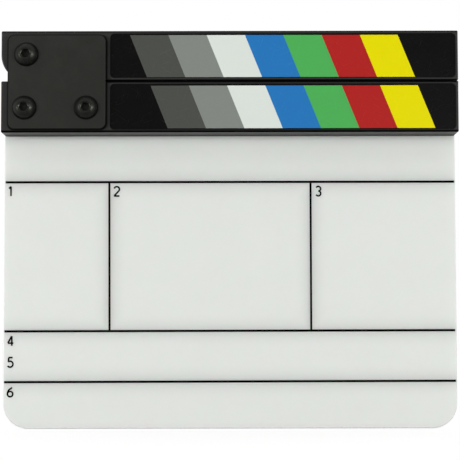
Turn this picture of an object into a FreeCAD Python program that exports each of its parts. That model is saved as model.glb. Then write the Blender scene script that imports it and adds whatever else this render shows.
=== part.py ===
import FreeCAD, Part
import math
import os
import re

import Sketcher

# Clapperboard, seen from the front along +Y: X to the right, Z up.
# The origin is the middle of the writing board's bottom edge, halfway through its thickness.

# Driving dimensions in millimetres
SIZES = {
    # acrylic writing board
    "board_width": 280.0,
    "board_thickness": 4.0,
    "board_corner_radius": 15.2,
    "board_edge_ease": 0.4,
    "writing_height": 181.0,
    # the two clap sticks
    "stick_set_in": 0.1,
    "lower_stick_height": 31.55,
    "upper_stick_height": 30.65,
    "stick_reach": 20.0,
    "stick_corner_round": 0.8,
    "stick_edge_round": 0.6,
    "rebate_lip": 4.75,
    "closing_gap": 0.4,
    # striped labels, in recesses of the sticks
    "label_edge_margin": 1.9,
    "label_end_margin": 1.9,
    "label_plate_gap": 2.7,
    "label_thickness": 0.4,
    "label_set_back": 0.2,
    "label_corner_radius": 2.4,
    # hinge plates
    "plate_width": 59.9,
    "plate_thickness": 3.0,
    "plate_corner_radius": 4.0,
    "plate_edge_round": 0.35,
    "plate_end_margin": 4.3,
    "plate_bottom_margin": 1.85,
    "plate_top_margin": 2.8,
    # pivot
    "pivot_lift": 0.35,
    "side_clearance": 0.3,
    "running_clearance": 0.05,
    "sleeve_wall": 1.5,
    "bush_wall": 1.5,
    "thrust_washer_rim": 3.0,
    "thrust_washer_thickness": 1.0,
    "thrust_washer_play": 0.1,
    # hinge bolts, their washers and thin lock nuts
    "bolt_diameter": 8.0,
    "bolt_head_diameter": 14.0,
    "bolt_head_height": 4.4,
    "bolt_head_land": 0.6,
    "bolt_dome_radius": 6.6,
    "bolt_socket_width": 5.0,
    "bolt_socket_depth": 3.0,
    "bolt_socket_bevel": 0.8,
    "bolt_crown_land": 0.3,
    "bolt_tip": 1.0,
    "bolt_tip_bevel": 0.8,
    "bolt_drop": 0.9,
    "bolt_hinge_inset": 10.3,
    "bolt_free_inset": 12.0,
    "bolt_washer_rim": 4.0,
    "bolt_washer_thickness": 1.6,
    "nut_wall": 2.5,
    "nut_hex_height": 4.2,
    "nut_collar_wall": 1.7,
    "nut_collar_height": 1.8,
    "nut_collar_round": 0.5,
    "lock_ring_wall": 1.0,
    "lock_ring_height": 1.3,
    "lock_ring_set_back": 0.2,
    # screws that hold the board, their washers and threaded inserts
    "screw_diameter": 4.0,
    "screw_head_diameter": 7.6,
    "screw_head_height": 2.2,
    "screw_head_land": 0.4,
    "screw_dome_radius": 3.6,
    "screw_socket_width": 2.5,
    "screw_socket_depth": 1.4,
    "screw_socket_bevel": 0.4,
    "screw_crown_land": 0.2,
    "screw_tip_bevel": 0.5,
    "screw_plate_gap": 48.0,
    "screw_end_inset": 12.0,
    "screw_washer_diameter": 9.0,
    "screw_washer_thickness": 0.8,
    "insert_length": 8.0,
    "insert_wall": 1.2,
    "insert_groove": 0.4,
    # magnets that hold the sticks shut
    "magnet_diameter": 10.0,
    "magnet_thickness": 4.0,
    "magnet_inset": 14.0,
    "magnet_edge": 0.3,
    # clearances shared by the fits
    "fit_gap": 0.1,
    "hole_gap": 0.2,
    "press_gap": 0.02,
}
SCREW_COUNT = 3
MOUTH_SLOPE = 30

# Places and sizes that several pieces share, as formulas of the driving dimensions.
# Depths are measured from the board's middle towards the viewer.
BOARD_FRONT = "(board_thickness / 2)"
BOARD_REAR = "(-board_thickness / 2)"
STICK_LENGTH = "(board_width - 2 * stick_set_in)"
STICK_END = f"(-{STICK_LENGTH} / 2)"
STICK_FRONT = "(board_thickness / 2 + stick_reach)"
STICK_DEPTH = "(board_thickness + stick_reach)"
STICK_MIDDLE = "(stick_reach / 2)"
REBATE_HEIGHT = "(lower_stick_height - rebate_lip)"
LOWER_TOP = "(writing_height + lower_stick_height)"
UPPER_BOTTOM = f"({LOWER_TOP} + closing_gap)"
CLAPPER_FRONT = f"({STICK_FRONT} - side_clearance)"
CLAPPER_REAR = f"({BOARD_REAR} + side_clearance)"
CLAPPER_DEPTH = f"({STICK_DEPTH} - 2 * side_clearance)"

HINGE_RADIUS = "(upper_stick_height / 2 + pivot_lift)"
PIVOT_X = f"({STICK_END} + {HINGE_RADIUS})"
PIVOT_Z = f"({UPPER_BOTTOM} + {HINGE_RADIUS})"
PIVOT = (PIVOT_X, PIVOT_Z)
SLEEVE_BORE = "(bolt_diameter + 2 * fit_gap)"
SLEEVE_OUTER = f"({SLEEVE_BORE} + 2 * sleeve_wall)"
BUSH_BORE = f"({SLEEVE_OUTER} + 2 * running_clearance)"
BUSH_OUTER = f"({BUSH_BORE} + 2 * bush_wall)"
THRUST_WASHER_OUTER = f"({BUSH_OUTER} + 2 * thrust_washer_rim)"
WASHER_RECESS = "(thrust_washer_thickness + thrust_washer_play - side_clearance)"

LABEL_START = "(plate_end_margin + plate_width + label_plate_gap)"
LABEL_LENGTH = f"({STICK_LENGTH} - label_end_margin - {LABEL_START})"
LABEL_RECESS = "(label_thickness + label_set_back)"

PLATE_START = f"({STICK_END} + plate_end_margin)"
PLATE_END = f"({PLATE_START} + plate_width)"
PLATE_FRONT = f"({STICK_FRONT} + plate_thickness)"
PLATE_REAR = f"({BOARD_REAR} - plate_thickness)"
BOLT_HOLE = "(bolt_diameter + 2 * hole_gap)"
BOLT_Z = "(writing_height + lower_stick_height / 2 - bolt_drop)"
NUT_SEAT = f"({PLATE_REAR} - bolt_washer_thickness)"
NUT_HEIGHT = "(nut_hex_height + nut_collar_height)"
BOLT_LENGTH = f"({PLATE_FRONT} - {NUT_SEAT} + {NUT_HEIGHT} + bolt_tip)"
NUT_BORE = "(bolt_diameter + 2 * press_gap)"
LOCK_RING_OUTER = f"({NUT_BORE} + 2 * lock_ring_wall)"
LOCK_RING_SEAT = f"({NUT_HEIGHT} - lock_ring_height - lock_ring_set_back)"

SCREW_HOLE = "(screw_diameter + 2 * hole_gap)"
SCREW_Z = f"(writing_height + {REBATE_HEIGHT} / 2)"
FIRST_SCREW = f"({PLATE_END} + screw_plate_gap)"
LAST_SCREW = f"({STICK_LENGTH} / 2 - screw_end_inset)"
INSERT_OUTER = "(screw_diameter + 2 * insert_wall)"

# Centres of the fasteners in X and Z
plate_bolt_places = [
    (f"({PLATE_START} + bolt_hinge_inset)", BOLT_Z),
    (f"({PLATE_END} - bolt_free_inset)", BOLT_Z),
]
screw_places = [
    (f"({FIRST_SCREW} + ({LAST_SCREW} - {FIRST_SCREW}) * {step} / {SCREW_COUNT - 1})", SCREW_Z)
    for step in range(SCREW_COUNT)
]

# Directions of faces, and the turns that point a fastener's own Z axis there
FRONT = (0, -1, 0)
REAR = (0, 1, 0)
UP = (0, 0, 1)
DOWN = (0, 0, -1)
UNTURNED = FreeCAD.Rotation()
TO_FRONT = FreeCAD.Rotation(FreeCAD.Vector(1, 0, 0), 90)
TO_REAR = FreeCAD.Rotation(FreeCAD.Vector(1, 0, 0), -90)

document = FreeCAD.newDocument("clapperboard")
sheet = document.addObject("Spreadsheet::Sheet", "Sizes")
for row, (alias, size) in enumerate(SIZES.items(), start=1):
    sheet.set(f"A{row}", alias)
    sheet.set(f"B{row}", str(size))
    sheet.setAlias(f"B{row}", alias)
document.recompute()
body_places = {}


def in_sheet(formula):
    """The formula with the name of each size pointing at its cell."""
    return re.sub(r"[a-z]\w+", lambda name: f"Sizes.{name[0]}" if name[0] in SIZES else name[0], formula)


def number(formula):
    """Present value of a formula of the sizes."""
    return float(sheet.evalExpression(formula))


def bind(item, **formulas):
    """Bind properties to formulas; a double underscore in a name stands for a dot."""
    for name, formula in formulas.items():
        item.setExpression(name.replace("__", "."), in_sheet(formula))


def new_body(label, place, depth, turn=UNTURNED):
    """Empty body whose own origin is placed in X and Z, and in depth towards the viewer."""
    body = document.addObject("PartDesign::Body", label)
    body.Label = label
    body.Placement = FreeCAD.Placement(FreeCAD.Vector(), turn)
    body_places[label] = place
    x, z = place
    bind(body, Placement__Base__x=x, Placement__Base__y=f"-({depth})", Placement__Base__z=z)
    return body


def new_sketch(body, name, role, offset="0"):
    """Sketch on one of the body's own origin planes, moved along its normal."""
    plane = next(item for item in body.Origin.OriginFeatures if item.Role == role)
    sketch = body.newObject("Sketcher::SketchObject", name)
    sketch.AttachmentSupport = [(plane, "")]
    sketch.MapMode = "FlatFace"
    bind(sketch, AttachmentOffset__Base__z=offset)
    return sketch


def constrain(sketch, formula, kind, *where):
    """Add a dimension whose value follows a formula of the sizes."""
    index = sketch.addConstraint(Sketcher.Constraint(kind, *where, number(formula)))
    sketch.setExpression(f"Constraints[{index}]", in_sheet(formula))


def fix_point(sketch, edge, end, x, y):
    """Hold one point of an edge at formulas measured from the sketch's origin."""
    constrain(sketch, x, "DistanceX", -1, 1, edge, end)
    constrain(sketch, y, "DistanceY", -1, 1, edge, end)


def add_circle(sketch, x, y, diameter):
    """Circle held by its centre and its diameter."""
    centre = FreeCAD.Vector(number(x), number(y), 0)
    edge = sketch.addGeometry(Part.Circle(centre, FreeCAD.Vector(0, 0, 1), number(diameter) / 2))
    fix_point(sketch, edge, 3, x, y)
    constrain(sketch, diameter, "Diameter", edge)


def arc_between(start, end, radius):
    """Minor arc that turns left on its way from start to end."""
    chord = end - start
    left = FreeCAD.Vector(-chord.y, chord.x, 0).normalize()
    rise = math.sqrt(radius ** 2 - (chord.Length / 2) ** 2)
    centre = (start + end) * 0.5 + left * rise
    angles = [math.atan2(point.y - centre.y, point.x - centre.x) for point in (start, end)]
    return Part.ArcOfCircle(Part.Circle(centre, FreeCAD.Vector(0, 0, 1), radius), *angles)


def add_path(sketch, corners):
    """Closed outline through (x, y, radius) corners: a radius makes the next edge an arc."""
    points = [FreeCAD.Vector(number(x), number(y), 0) for x, y, radius in corners]
    edges = []
    for start, end, (x, y, radius) in zip(points, points[1:] + points[:1], corners):
        shape = arc_between(start, end, number(radius)) if radius else Part.LineSegment(start, end)
        edge = sketch.addGeometry(shape)
        fix_point(sketch, edge, 1, x, y)
        if radius:
            constrain(sketch, radius, "Radius", edge)
        edges.append(edge)
    for edge, following in zip(edges, edges[1:] + edges[:1]):
        sketch.addConstraint(Sketcher.Constraint("Coincident", edge, 2, following, 1))


def add_polygon(sketch, points):
    """Closed outline of straight edges."""
    add_path(sketch, [(x, y, None) for x, y in points])


def add_rounded_box(sketch, left, right, bottom, top, radii):
    """Rectangle with a radius for each corner: lower left, lower right, upper right, upper left."""
    low_left, low_right, top_right, top_left = radii
    corners = [
        (f"{left} + {low_left}", bottom, None),
        (f"{right} - {low_right}", bottom, low_right),
        (right, f"{bottom} + {low_right}", None),
        (right, f"{top} - {top_right}", top_right),
        (f"{right} - {top_right}", top, None),
        (f"{left} + {top_left}", top, top_left),
        (left, f"{top} - {top_left}", None),
        (left, f"{bottom} + {low_left}", low_left),
    ]
    add_path(sketch, corners)


def add_hexagon(sketch, width):
    """Regular hexagon of the given width across its flats, round the sketch's origin."""
    reach = f"({width}) / sqrt(3)"
    add_polygon(sketch, [(f"{reach} * cos({60 * k})", f"{reach} * sin({60 * k})") for k in range(6)])


def pad(body, sketch, length):
    """Raise a sketch along its normal."""
    feature = body.newObject("PartDesign::Pad", f"{sketch.Name}_pad")
    feature.Profile = sketch
    bind(feature, Length=length)
    document.recompute()


def pocket(body, sketch, depth, forwards=False):
    """Cut against the sketch's normal, or along it, and make sure that something was cut."""
    before = body.Tip.Shape.Volume
    feature = body.newObject("PartDesign::Pocket", f"{sketch.Name}_cut")
    feature.Profile = sketch
    feature.Reversed = forwards
    bind(feature, Length=depth)
    document.recompute()
    if not feature.Shape.Volume < before:
        raise ValueError(f"{feature.Name} cuts nothing")


def revolve(body, sketch, kind="PartDesign::Revolution"):
    """Turn a profile once about the sketch's upright axis, to add it or as a groove."""
    feature = body.newObject(kind, f"{sketch.Name}_turned")
    feature.Profile = sketch
    feature.ReferenceAxis = (sketch, ["V_Axis"])
    feature.Angle = 360
    document.recompute()


def outer_face(feature, direction):
    """Name of the flat face that lies furthest out in a direction."""
    normal = FreeCAD.Vector(*direction)
    found = []
    for index, face in enumerate(feature.Shape.Faces, start=1):
        if isinstance(face.Surface, Part.Plane) and face.normalAt(0, 0).dot(normal) > 0.999:
            found.append((face.CenterOfMass.dot(normal), f"Face{index}"))
    return max(found)[1]


def round_edges(body, directions, radius):
    """Round every edge of the outermost flat faces in the given directions."""
    base = body.Tip
    feature = body.newObject("PartDesign::Fillet", f"{body.Name}_rounding")
    feature.Base = (base, [outer_face(base, direction) for direction in directions])
    bind(feature, Radius=radius)
    document.recompute()


def bevel_edges(body, directions, size):
    """Bevel every edge of the outermost flat faces in the given directions."""
    base = body.Tip
    feature = body.newObject("PartDesign::Chamfer", f"{body.Name}_bevel")
    feature.Base = (base, [outer_face(base, direction) for direction in directions])
    bind(feature, Size=size)
    document.recompute()


def drill(body, name, places, diameter, start, depth, forwards=False):
    """Round holes whose places are measured on the whole clapperboard."""
    sketch = new_sketch(body, name, "XZ_Plane", start)
    own_x, own_z = body_places[body.Label]
    for x, z in places:
        add_circle(sketch, f"{x} - ({own_x})", f"{z} - ({own_z})", diameter)
    pocket(body, sketch, depth, forwards)


def ring(label, place, depth, facing, bore, outer, length):
    """Plain ring that stands on its own origin."""
    body = new_body(label, place, depth, facing)
    section = new_sketch(body, f"{label}_section", "XY_Plane")
    add_circle(section, "0", "0", outer)
    add_circle(section, "0", "0", bore)
    pad(body, section, length)
    return body


def button_bolt(label, place, depth, facing, name, length):
    """Domed socket-head bolt: its head stands on its own origin and its shank runs below it."""
    body = new_body(label, place, depth, facing)
    profile = new_sketch(body, f"{label}_profile", "XZ_Plane")
    rim = f"({name}_head_diameter / 2)"
    shank = f"({name}_diameter / 2)"
    bevel = f"{name}_tip_bevel"
    mouth = f"({name}_socket_width / 2 + {name}_socket_bevel)"
    crown = f"({mouth} + {name}_crown_land)"
    corners = [
        ("0", f"-({length})", None),
        (f"{shank} - {bevel}", f"-({length})", None),
        (shank, f"{bevel} - ({length})", None),
        (shank, "0", None),
        (rim, "0", None),
        (rim, f"{name}_head_land", f"{name}_dome_radius"),
        (crown, f"{name}_head_height", None),
        ("0", f"{name}_head_height", None),
    ]
    add_path(profile, corners)
    revolve(body, profile)
    socket = new_sketch(body, f"{label}_socket", "XY_Plane", f"{name}_head_height")
    add_hexagon(socket, f"{name}_socket_width")
    pocket(body, socket, f"{name}_socket_depth")
    bevel_cone = new_sketch(body, f"{label}_mouth", "XZ_Plane")
    top = f"{name}_head_height"
    add_polygon(bevel_cone, [("0", f"{top} - {mouth} * tan({MOUTH_SLOPE})"), (mouth, top), ("0", top)])
    revolve(body, bevel_cone, "PartDesign::Groove")
    return body


def group(label, build, places):
    """Identical fasteners under one name, each still a solid of its own."""
    compound = document.addObject("Part::Compound", f"{label}s")
    compound.Label = f"{label}s"
    compound.Links = [build(f"{label}_{count}", place) for count, place in enumerate(places, start=1)]
    return compound


def writing_board():
    """Flat sheet with eased edges; its top lies in the lower stick's rebate."""
    body = new_body("writing_board", ("0", "0"), "0")
    outline = new_sketch(body, "board_outline", "XZ_Plane", BOARD_REAR)
    half = "(board_width / 2)"
    top = f"(writing_height + {REBATE_HEIGHT} - fit_gap)"
    corners = [
        (f"board_corner_radius - {half}", "0", None),
        (f"{half} - board_corner_radius", "0", "board_corner_radius"),
        (half, "board_corner_radius", None),
        (half, top, None),
        (f"-{half}", top, None),
        (f"-{half}", "board_corner_radius", "board_corner_radius"),
    ]
    add_path(outline, corners)
    pad(body, outline, "board_thickness")
    bevel_edges(body, [FRONT, REAR], "board_edge_ease")
    drill(body, "board_bolt_holes", plate_bolt_places, BOLT_HOLE, BOARD_FRONT, "board_thickness")
    drill(body, "board_screw_holes", screw_places, SCREW_HOLE, BOARD_FRONT, "board_thickness")
    return body


def cut_label_recess(body, name, left, bottom, height, front):
    """Shallow rounded recess for a label, from the lower hinge-end corner of its stick."""
    sketch = new_sketch(body, name, "XZ_Plane", front)
    start = f"({left} + {LABEL_START} - fit_gap)"
    end = f"({left} + {LABEL_START} + {LABEL_LENGTH} + fit_gap)"
    low = f"({bottom} + label_edge_margin - fit_gap)"
    high = f"({bottom} + {height} - label_edge_margin + fit_gap)"
    add_rounded_box(sketch, start, end, low, high, ["label_corner_radius"] * 4)
    pocket(body, sketch, LABEL_RECESS)


def cut_magnet_socket(body, name, stick_end, face, forwards):
    """Round blind socket in the face that meets the other stick."""
    sketch = new_sketch(body, name, "XY_Plane", face)
    width = "magnet_diameter + 2 * press_gap"
    add_circle(sketch, f"{stick_end} - magnet_inset", f"-{STICK_MIDDLE}", width)
    pocket(body, sketch, "magnet_thickness + fit_gap", forwards)


def lower_stick():
    """Bar with the board's rebate behind it; its own origin is its lower hinge-end corner."""
    body = new_body("lower_stick", (STICK_END, "writing_height"), "0")
    outline = new_sketch(body, "lower_stick_outline", "XZ_Plane", BOARD_REAR)
    add_rounded_box(outline, "0", STICK_LENGTH, "0", "lower_stick_height", ["stick_corner_round"] * 4)
    pad(body, outline, STICK_DEPTH)
    round_edges(body, [FRONT, REAR], "stick_edge_round")
    rebate = new_sketch(body, "board_rebate", "XZ_Plane", BOARD_REAR)
    past = "stick_corner_round"
    low_corners = [(f"-{past}", f"-{past}"), (f"{STICK_LENGTH} + {past}", f"-{past}")]
    high_corners = [(f"{STICK_LENGTH} + {past}", REBATE_HEIGHT), (f"-{past}", REBATE_HEIGHT)]
    add_polygon(rebate, low_corners + high_corners)
    pocket(body, rebate, "board_thickness", forwards=True)
    cut_label_recess(body, "lower_label_recess", "0", "0", "lower_stick_height", STICK_FRONT)
    drill(body, "stick_bolt_holes", plate_bolt_places, BOLT_HOLE, STICK_FRONT, STICK_DEPTH)
    insert_hole = f"{INSERT_OUTER} + 2 * press_gap"
    insert_depth = "insert_length + fit_gap"
    drill(body, "insert_holes", screw_places, insert_hole, BOARD_FRONT, insert_depth, forwards=True)
    cut_magnet_socket(body, "lower_magnet_socket", STICK_LENGTH, "lower_stick_height", forwards=False)
    return body


def upper_stick():
    """Swinging bar: its own origin is the pivot, and its lower hinge-end corner is round about it."""
    body = new_body("upper_stick", PIVOT, "0")
    outline = new_sketch(body, "upper_stick_outline", "XZ_Plane", CLAPPER_REAR)
    left = f"(-{HINGE_RADIUS})"
    right = f"({STICK_LENGTH} - {HINGE_RADIUS})"
    top = f"(upper_stick_height - {HINGE_RADIUS})"
    add_rounded_box(outline, left, right, left, top, [HINGE_RADIUS] + ["stick_corner_round"] * 3)
    pad(body, outline, CLAPPER_DEPTH)
    round_edges(body, [FRONT, REAR], "stick_edge_round")
    cut_label_recess(body, "upper_label_recess", left, left, "upper_stick_height", CLAPPER_FRONT)
    drill(body, "bush_hole", [PIVOT], f"{BUSH_OUTER} + 2 * press_gap", CLAPPER_FRONT, CLAPPER_DEPTH)
    seat = f"{THRUST_WASHER_OUTER} + 2 * fit_gap"
    drill(body, "front_washer_seat", [PIVOT], seat, CLAPPER_FRONT, WASHER_RECESS)
    drill(body, "rear_washer_seat", [PIVOT], seat, CLAPPER_REAR, WASHER_RECESS, forwards=True)
    cut_magnet_socket(body, "upper_magnet_socket", right, left, forwards=True)
    return body


def stripe_label(label, stick_bottom, stick_height, stick_front):
    """Printed strip that lies on the floor of its stick's recess."""
    corner = (f"{STICK_END} + {LABEL_START}", f"{stick_bottom} + label_edge_margin")
    body = new_body(label, corner, f"{stick_front} - {LABEL_RECESS}")
    outline = new_sketch(body, f"{label}_outline", "XZ_Plane")
    height = f"({stick_height} - 2 * label_edge_margin)"
    add_rounded_box(outline, "0", LABEL_LENGTH, "0", height, ["label_corner_radius"] * 4)
    pad(body, outline, "label_thickness")
    return body


def hinge_plate(label, inner_face, outwards):
    """Cover plate over both sticks; its own origin is the pivot, on the face that meets the sticks."""
    body = new_body(label, PIVOT, inner_face)
    start = "0" if outwards == FRONT else "-plate_thickness"
    outline = new_sketch(body, f"{label}_outline", "XZ_Plane", start)
    left = f"({PLATE_START} - {PIVOT_X})"
    right = f"({PLATE_END} - {PIVOT_X})"
    bottom = f"(writing_height + plate_bottom_margin - {PIVOT_Z})"
    top = f"({UPPER_BOTTOM} + upper_stick_height - plate_top_margin - {PIVOT_Z})"
    add_rounded_box(outline, left, right, bottom, top, ["plate_corner_radius"] * 4)
    pad(body, outline, "plate_thickness")
    round_edges(body, [outwards], "plate_edge_round")
    holes = [PIVOT] + plate_bolt_places
    drill(body, f"{label}_holes", holes, BOLT_HOLE, f"{start} + plate_thickness", "plate_thickness")
    return body


def hinge_bolt(label, place):
    return button_bolt(label, place, PLATE_FRONT, TO_FRONT, "bolt", BOLT_LENGTH)


def hinge_washer(label, place):
    outer = f"{BOLT_HOLE} + 2 * bolt_washer_rim"
    return ring(label, place, PLATE_REAR, TO_REAR, BOLT_HOLE, outer, "bolt_washer_thickness")


def hinge_nut(label, place):
    """Thin lock nut: bevelled hexagon with a round collar, hollowed for the locking ring."""
    body = new_body(label, place, NUT_SEAT, TO_REAR)
    hexagon = new_sketch(body, f"{label}_hexagon", "XY_Plane")
    width = "(bolt_diameter + 2 * nut_wall)"
    add_hexagon(hexagon, width)
    pad(body, hexagon, "nut_hex_height")
    bevel = new_sketch(body, f"{label}_corner_bevel", "XZ_Plane")
    flat = f"({width} / 2)"
    past = f"({flat} + nut_wall)"
    drop = "(nut_hex_height - nut_wall * tan(30))"
    add_polygon(bevel, [(flat, "nut_hex_height"), (past, drop), (past, "nut_hex_height")])
    revolve(body, bevel, "PartDesign::Groove")
    collar = new_sketch(body, f"{label}_collar", "XY_Plane", "nut_hex_height")
    add_circle(collar, "0", "0", "bolt_diameter + 2 * nut_collar_wall")
    pad(body, collar, "nut_collar_height")
    round_edges(body, [UP], "nut_collar_round")
    bore = new_sketch(body, f"{label}_bore", "XY_Plane", NUT_HEIGHT)
    add_circle(bore, "0", "0", NUT_BORE)
    pocket(body, bore, NUT_HEIGHT)
    seat = new_sketch(body, f"{label}_ring_seat", "XY_Plane", NUT_HEIGHT)
    add_circle(seat, "0", "0", f"{LOCK_RING_OUTER} + 2 * press_gap")
    pocket(body, seat, f"{NUT_HEIGHT} - {LOCK_RING_SEAT}")
    return body


def lock_ring(label, place):
    """Plastic ring in the nut's collar that grips the bolt."""
    seat = f"{NUT_SEAT} - {LOCK_RING_SEAT}"
    return ring(label, place, seat, TO_REAR, NUT_BORE, LOCK_RING_OUTER, "lock_ring_height")


def pivot_sleeve():
    """Spacer tube that the two plates clamp, so that the upper stick stays free between them."""
    return ring("pivot_sleeve", PIVOT, BOARD_REAR, TO_FRONT, SLEEVE_BORE, SLEEVE_OUTER, STICK_DEPTH)


def pivot_bush():
    """Plain bearing pressed into the upper stick, between the floors of its washer seats."""
    length = f"{CLAPPER_DEPTH} - 2 * {WASHER_RECESS}"
    start = f"{CLAPPER_REAR} + {WASHER_RECESS}"
    return ring("pivot_bush", PIVOT, start, TO_FRONT, BUSH_BORE, BUSH_OUTER, length)


def thrust_washer(label, facing):
    """Thin washer in its seat in the upper stick's side, just clear of the plate."""
    front_seat = f"{CLAPPER_FRONT} - {WASHER_RECESS}"
    rear_seat = f"{CLAPPER_REAR} + {WASHER_RECESS}"
    seat = front_seat if facing == TO_FRONT else rear_seat
    bore = f"{SLEEVE_OUTER} + 2 * hole_gap"
    return ring(label, PIVOT, seat, facing, bore, THRUST_WASHER_OUTER, "thrust_washer_thickness")


def board_screw(label, place):
    length = "screw_washer_thickness + board_thickness + insert_length"
    return button_bolt(label, place, f"{BOARD_REAR} - screw_washer_thickness", TO_REAR, "screw", length)


def board_washer(label, place):
    outer = "screw_washer_diameter"
    return ring(label, place, BOARD_REAR, TO_REAR, SCREW_HOLE, outer, "screw_washer_thickness")


def board_insert(label, place):
    """Threaded insert: a tube with a retaining groove round its middle."""
    body = new_body(label, place, BOARD_FRONT, TO_FRONT)
    profile = new_sketch(body, f"{label}_profile", "XZ_Plane")
    bore = "(screw_diameter / 2 + press_gap)"
    outer = f"({INSERT_OUTER} / 2)"
    waist = f"({outer} - insert_groove)"
    groove_start = "(insert_length * 0.4)"
    groove_end = "(insert_length * 0.6)"
    points = [
        (bore, "0"),
        (outer, "0"),
        (outer, groove_start),
        (waist, groove_start),
        (waist, groove_end),
        (outer, groove_end),
        (outer, "insert_length"),
        (bore, "insert_length"),
    ]
    add_polygon(profile, points)
    revolve(body, profile)
    return body


def magnet(label, bottom):
    """Disc magnet with bevelled rims, flush with the face that meets the other stick."""
    body = new_body(label, (f"{STICK_LENGTH} / 2 - magnet_inset", bottom), STICK_MIDDLE)
    outline = new_sketch(body, f"{label}_outline", "XY_Plane")
    add_circle(outline, "0", "0", "magnet_diameter")
    pad(body, outline, "magnet_thickness")
    bevel_edges(body, [UP, DOWN], "magnet_edge")
    return body


pieces = [
    writing_board(),
    lower_stick(),
    stripe_label("lower_stripe_label", "writing_height", "lower_stick_height", STICK_FRONT),
    magnet("lower_magnet", f"{LOWER_TOP} - magnet_thickness"),
    group("board_insert", board_insert, screw_places),
    group("board_washer", board_washer, screw_places),
    group("board_screw", board_screw, screw_places),
    hinge_plate("front_hinge_plate", STICK_FRONT, FRONT),
    hinge_plate("rear_hinge_plate", BOARD_REAR, REAR),
    group("plate_bolt", hinge_bolt, plate_bolt_places),
    group("plate_washer", hinge_washer, plate_bolt_places),
    group("plate_lock_nut", hinge_nut, plate_bolt_places),
    hinge_bolt("pivot_bolt", PIVOT),
    pivot_sleeve(),
    hinge_washer("pivot_washer", PIVOT),
    hinge_nut("pivot_lock_nut", PIVOT),
    group("lock_ring", lock_ring, plate_bolt_places + [PIVOT]),
    upper_stick(),
    stripe_label("upper_stripe_label", UPPER_BOTTOM, "upper_stick_height", CLAPPER_FRONT),
    magnet("upper_magnet", UPPER_BOTTOM),
    pivot_bush(),
    group("thrust_washer", thrust_washer, [TO_FRONT, TO_REAR]),
]
document.recompute()

failed = [item.Name for item in document.Objects if {"Invalid", "Error"} & set(item.State)]
failed += [piece.Label for piece in pieces if piece.Shape.isNull() or not piece.Shape.isValid()]
if failed:
    raise ValueError(f"not built: {failed}")

os.makedirs("parts", exist_ok=True)
for piece in pieces:
    piece.Shape.exportStep(f"parts/{piece.Label}.step")
    print(piece.Label, len(piece.Shape.Solids), round(piece.Shape.Volume, 2))
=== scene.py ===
import math

import bmesh
import bpy
import numpy as np
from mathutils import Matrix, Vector


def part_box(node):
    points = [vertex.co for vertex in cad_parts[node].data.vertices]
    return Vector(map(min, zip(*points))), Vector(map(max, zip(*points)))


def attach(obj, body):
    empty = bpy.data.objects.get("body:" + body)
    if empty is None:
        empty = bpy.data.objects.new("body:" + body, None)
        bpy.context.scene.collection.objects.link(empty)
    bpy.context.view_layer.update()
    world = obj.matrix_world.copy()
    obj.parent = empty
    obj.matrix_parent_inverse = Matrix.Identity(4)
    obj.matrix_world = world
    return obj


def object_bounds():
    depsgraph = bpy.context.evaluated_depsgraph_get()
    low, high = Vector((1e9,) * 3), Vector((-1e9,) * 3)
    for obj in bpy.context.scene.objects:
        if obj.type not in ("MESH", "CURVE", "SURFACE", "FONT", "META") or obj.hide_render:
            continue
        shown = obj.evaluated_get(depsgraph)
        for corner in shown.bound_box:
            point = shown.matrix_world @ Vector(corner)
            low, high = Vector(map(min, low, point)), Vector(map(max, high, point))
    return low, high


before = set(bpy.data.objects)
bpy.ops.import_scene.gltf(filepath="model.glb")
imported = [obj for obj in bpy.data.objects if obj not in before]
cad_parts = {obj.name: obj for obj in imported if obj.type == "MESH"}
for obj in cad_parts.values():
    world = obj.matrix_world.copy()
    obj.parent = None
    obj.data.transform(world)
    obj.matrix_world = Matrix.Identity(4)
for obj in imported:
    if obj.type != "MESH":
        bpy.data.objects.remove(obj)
cad_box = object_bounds()

# Writing board: one sheet of opal white acrylic, sawn to shape, with rounded bottom corners and
# eased edges. Its satin face takes a marker pen. Three screws hold its top in the lower stick.
MM = 0.001
board_low, board_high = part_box("writing_board")
opal_white = (0.80, 0.81, 0.785, 1.0)
opal_shade = (0.745, 0.76, 0.735, 1.0)
# Painted light: the face colour turns paler towards the bottom edge, lifting the shade where the board
# meets the floor.
opal_painted_foot_light = (0.92, 0.96, 0.915, 1.0)
painted_foot_light_span = (0.8 * MM, 1.25 * MM)
opal_refraction = 1.49
opal_scatter = 0.85
opal_depth = 3.3 * MM
opal_tint = (0.9, 1.12, 1.0)
board_marks = 9.0 * MM
haze_span = (0.35, 0.75)
haze_strength = 0.25
satin_span = (0.2, 0.8)
satin_roughness = (0.34, 0.44)
satin_scratched = 0.12
satin_grain = 0.35 * MM
satin_depth = 0.004 * MM


def node(tree, kind, inputs=None, **settings):
    """Add a shader node: an input given a socket is linked, any other value is set on it."""
    made = tree.nodes.new(kind)
    for name, value in settings.items():
        setattr(made, name, value)
    for name, value in (inputs or {}).items():
        if isinstance(value, bpy.types.NodeSocket):
            tree.links.new(value, made.inputs[name])
        else:
            made.inputs[name].default_value = value
    return made


def calc(tree, operation, *values):
    """Socket that holds a sum, product or other calculation of numbers and sockets."""
    made = node(tree, "ShaderNodeMath", dict(enumerate(values)), operation=operation)
    return made.outputs[0]


def blend(tree, factor, first, second):
    """Socket that fades from the first colour to the second, which a Mix node has at 6 and 7."""
    made = node(tree, "ShaderNodeMix", {0: factor, 6: first, 7: second}, data_type="RGBA")
    return made.outputs[2]


def spread(tree, value, low, high, new_low=0.0, new_high=1.0):
    """Socket with the value stretched from one span to another and kept within it."""
    inputs = {
        "Value": value,
        "From Min": low,
        "From Max": high,
        "To Min": new_low,
        "To Max": new_high,
    }
    return node(tree, "ShaderNodeMapRange", inputs, clamp=True).outputs["Result"]


def noise(tree, vector, scale, detail=2.0, roughness=0.5):
    """Socket of a cloudy pattern from 0 to 1."""
    inputs = {"Vector": vector, "Scale": scale, "Detail": detail, "Roughness": roughness}
    return node(tree, "ShaderNodeTexNoise", inputs).outputs[0]


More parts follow.
